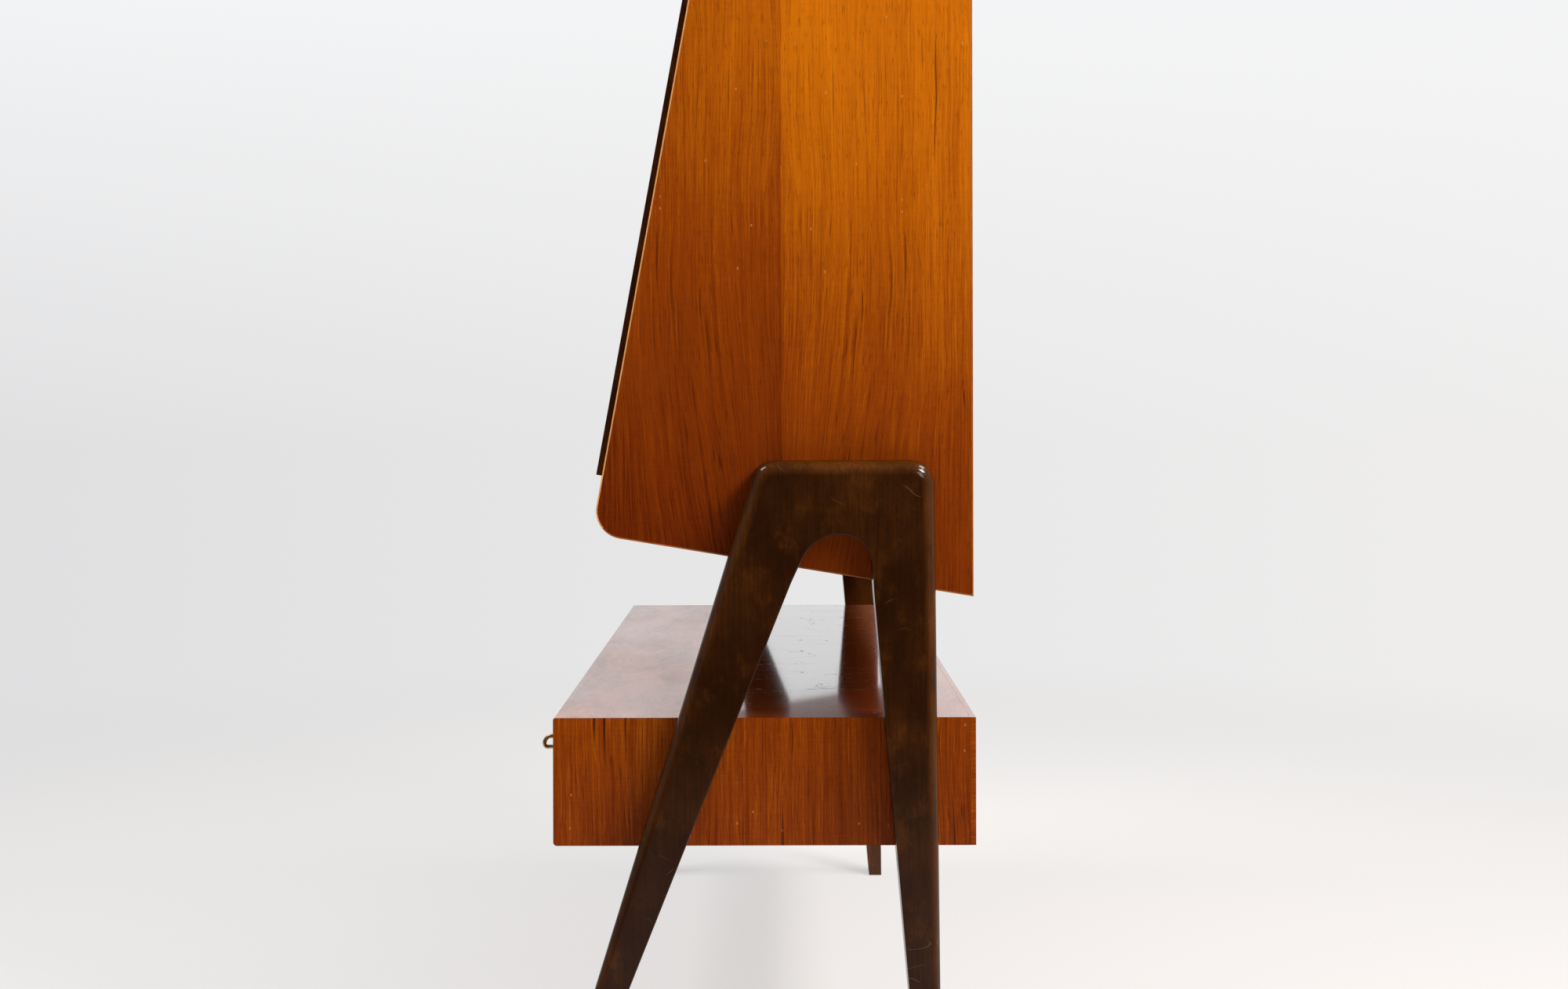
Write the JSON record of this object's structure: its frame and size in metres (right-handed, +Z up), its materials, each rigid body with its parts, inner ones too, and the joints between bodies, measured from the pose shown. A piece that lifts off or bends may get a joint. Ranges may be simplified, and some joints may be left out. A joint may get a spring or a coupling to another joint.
{
  "type": "vanity table with mirror",
  "caption": "Low chest of drawers between compass-shaped leg frames, under a tapered cabinet whose leaning front is a fixed mirror with two hinged mirror wings.",
  "frame": {"origin": "on the floor below the middle of the table's bounding box, pulls included", "axes": "+X to the table's right as its user faces it, -Y to the user at the front, +Z up"},
  "size_m": [1.284, 0.485, 1.6456],
  "materials": {
    "veneer": "golden brown walnut veneer with a gloss lacquer",
    "dark_wood": "dark stained beech, polished",
    "inner_wood": "plain oiled wood",
    "brass": "aged polish",
    "mirror": "silvered glass"
  },
  "bodies": {
    "table": {"left_leg_frame": "dark_wood", "right_leg_frame": "dark_wood", "frame_bolts": "brass", "chest_top": "veneer", "chest_bottom": "veneer", "chest_left_end": "veneer", "chest_right_end": "veneer", "chest_back": "veneer", "chest_left_divider": "inner_wood", "chest_right_divider": "inner_wood", "drawer_runners": "inner_wood", "drawer_stops": "inner_wood", "cabinet_left_side": "veneer", "cabinet_right_side": "veneer", "cabinet_top": "inner_wood", "cabinet_bottom": "inner_wood", "cabinet_back": "inner_wood", "cabinet_left_partition": "inner_wood", "cabinet_right_partition": "inner_wood", "cabinet_top_rail": "veneer", "cabinet_bottom_rail": "veneer", "left_shelves": "inner_wood", "right_shelves": "inner_wood", "shelf_pins": "brass", "wing_catches": "brass", "centre_mirror_frame": "dark_wood", "centre_mirror_glass": "mirror", "centre_mirror_backing": "inner_wood", "left_fixed_hinges": "brass", "right_fixed_hinges": "brass"},
    "left_drawer": {"left_drawer_front": "veneer", "left_drawer_sides": "inner_wood", "left_drawer_back": "inner_wood", "left_drawer_bottom": "inner_wood", "left_drawer_pull": "brass", "left_drawer_nuts": "brass"},
    "centre_drawer": {"centre_drawer_front": "veneer", "centre_drawer_sides": "inner_wood", "centre_drawer_back": "inner_wood", "centre_drawer_bottom": "inner_wood", "centre_drawer_pull": "brass", "centre_drawer_nuts": "brass"},
    "right_drawer": {"right_drawer_front": "veneer", "right_drawer_sides": "inner_wood", "right_drawer_back": "inner_wood", "right_drawer_bottom": "inner_wood", "right_drawer_pull": "brass", "right_drawer_nuts": "brass"},
    "left_wing": {"left_wing_frame": "dark_wood", "left_wing_glass": "mirror", "left_wing_backing": "inner_wood", "left_moving_hinges": "brass"},
    "right_wing": {"right_wing_frame": "dark_wood", "right_wing_glass": "mirror", "right_wing_backing": "inner_wood", "right_moving_hinges": "brass"}
  },
  "joints": [
    {"name": "left_drawer_slide", "type": "slide", "parent": "table", "child": "left_drawer", "axis": [0, -1, 0], "range_m": [0, 0.3]},
    {"name": "centre_drawer_slide", "type": "slide", "parent": "table", "child": "centre_drawer", "axis": [0, -1, 0], "range_m": [0, 0.3]},
    {"name": "right_drawer_slide", "type": "slide", "parent": "table", "child": "right_drawer", "axis": [0, -1, 0], "range_m": [0, 0.3]},
    {"name": "left_wing_hinge", "type": "hinge", "parent": "table", "child": "left_wing", "pos_m": [-0.19333, -0.16681, 0.70685], "axis": [0, 0.1805, 0.9836], "range_deg": [0, 100]},
    {"name": "right_wing_hinge", "type": "hinge", "parent": "table", "child": "right_wing", "pos_m": [0.19333, -0.16681, 0.70685], "axis": [0, -0.1805, -0.9836], "range_deg": [0, 100]}
  ]
}
